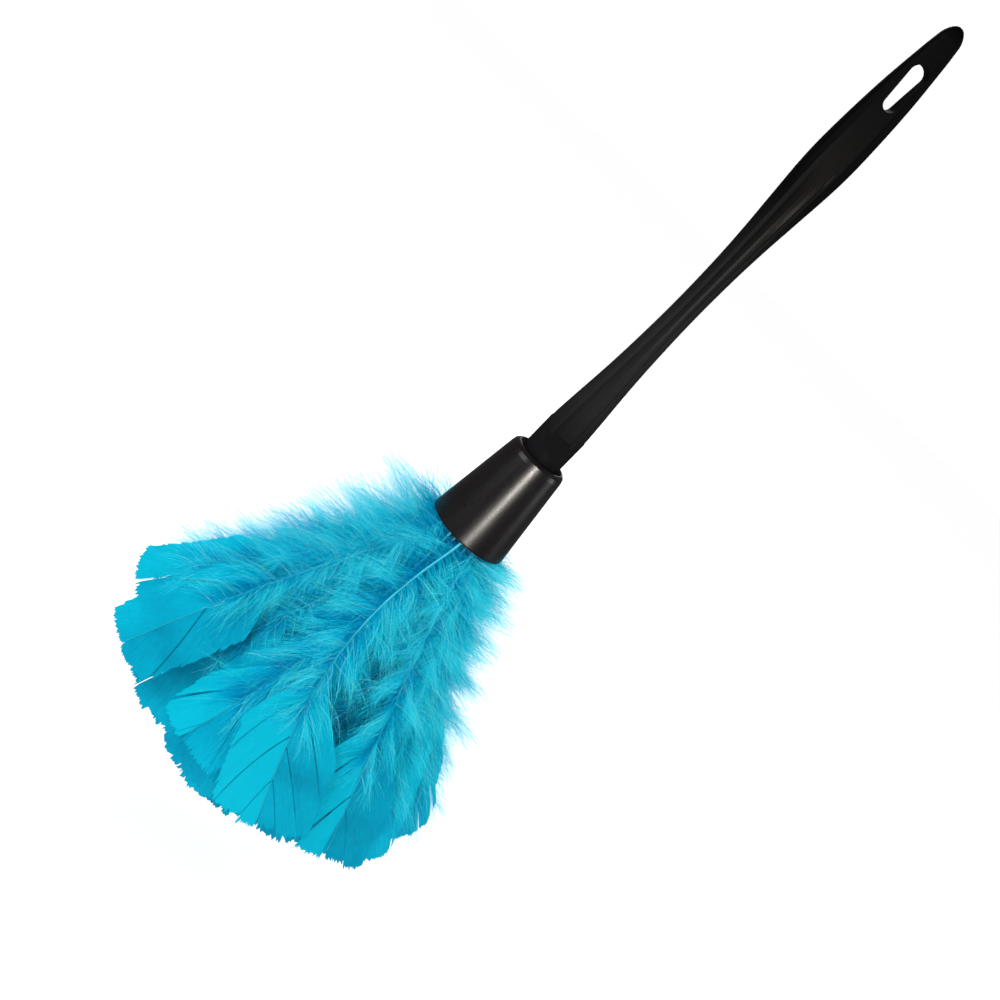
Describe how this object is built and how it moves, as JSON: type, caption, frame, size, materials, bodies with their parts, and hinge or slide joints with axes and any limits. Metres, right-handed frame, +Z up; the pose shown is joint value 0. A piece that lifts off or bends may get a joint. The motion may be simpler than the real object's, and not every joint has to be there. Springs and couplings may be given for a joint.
{
  "type": "feather duster",
  "caption": "Feather duster with a slim moulded handle, a hanging slot at its tip, a bell-shaped cup and a flared head of dyed turquoise feathers.",
  "frame": {"origin": "centre of the hanging slot's round upper end, at the middle of the handle's thickness", "axes": "+Z up along the handle to its tip with the feathers hanging down, X across the handle's width, +Y through its thickness from the front face to the back face"},
  "size_m": [0.1882, 0.1944, 0.4757],
  "materials": {
    "handle_plastic": "satin",
    "cup_plastic": "gloss",
    "feather": "matte",
    "thread": "matte",
    "glue": "satin"
  },
  "bodies": {
    "root": {"handle": "handle_plastic", "cup": "cup_plastic", "glue_plug": "glue", "binding_1": "thread", "binding_2": "thread", "binding_3": "thread", "binding_4": "thread", "feather_inner_01": "feather", "feather_inner_02": "feather", "feather_inner_03": "feather", "feather_inner_04": "feather", "feather_inner_05": "feather", "feather_inner_06": "feather", "feather_second_01": "feather", "feather_second_02": "feather", "feather_second_03": "feather", "feather_second_04": "feather", "feather_second_05": "feather", "feather_second_06": "feather", "feather_second_07": "feather", "feather_second_08": "feather", "feather_second_09": "feather", "feather_second_10": "feather", "feather_third_01": "feather", "feather_third_02": "feather", "feather_third_03": "feather", "feather_third_04": "feather", "feather_third_05": "feather", "feather_third_06": "feather", "feather_third_07": "feather", "feather_third_08": "feather", "feather_third_09": "feather", "feather_third_10": "feather", "feather_third_11": "feather", "feather_third_12": "feather", "feather_outer_01": "feather", "feather_outer_02": "feather", "feather_outer_03": "feather", "feather_outer_04": "feather", "feather_outer_05": "feather", "feather_outer_06": "feather", "feather_outer_07": "feather", "feather_outer_08": "feather", "feather_outer_09": "feather", "feather_outer_10": "feather", "feather_outer_11": "feather", "feather_outer_12": "feather", "feather_outer_13": "feather", "feather_outer_14": "feather"}
  },
  "joints": []
}
